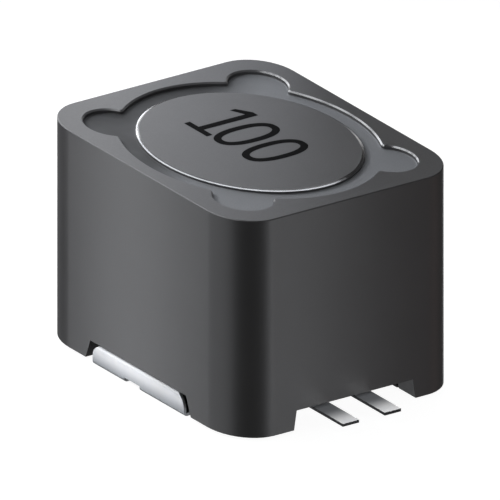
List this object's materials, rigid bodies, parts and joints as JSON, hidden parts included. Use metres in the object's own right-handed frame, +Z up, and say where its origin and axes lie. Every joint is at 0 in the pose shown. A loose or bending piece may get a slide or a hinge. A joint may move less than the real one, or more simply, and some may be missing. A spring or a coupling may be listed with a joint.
{
  "type": "shielded surface-mount power inductor",
  "caption": "Square shielded power inductor: ferrite drum and winding in a ferrite sleeve, on a moulded base with wrapped solder terminals and lead tabs.",
  "frame": {"origin": "centre of the square sleeve, on the plane of the solder feet", "axes": "+Z up, from the solder feet to the marked top; the terminals are on the -X and +X sides and the lead tabs stand out of the -Y side"},
  "size_m": [0.012, 0.0132, 0.0098],
  "materials": {
    "sleeve_ferrite": "pressed and sintered, satin",
    "drum_ferrite": "pressed and ground, satin",
    "resin": "cured, satin",
    "enamelled_copper": "enamelled",
    "base_moulding": "moulded, matt",
    "tin_plate": "matt tin plate",
    "solder": "bright, reflowed"
  },
  "bodies": {
    "root": {"shield_core": "sleeve_ferrite", "drum_core": "drum_ferrite", "gap_resin": "resin", "winding": "enamelled_copper", "terminal_base": "base_moulding", "terminal_left": "tin_plate", "terminal_right": "tin_plate", "start_solder": "solder", "finish_solder": "solder"}
  },
  "joints": []
}
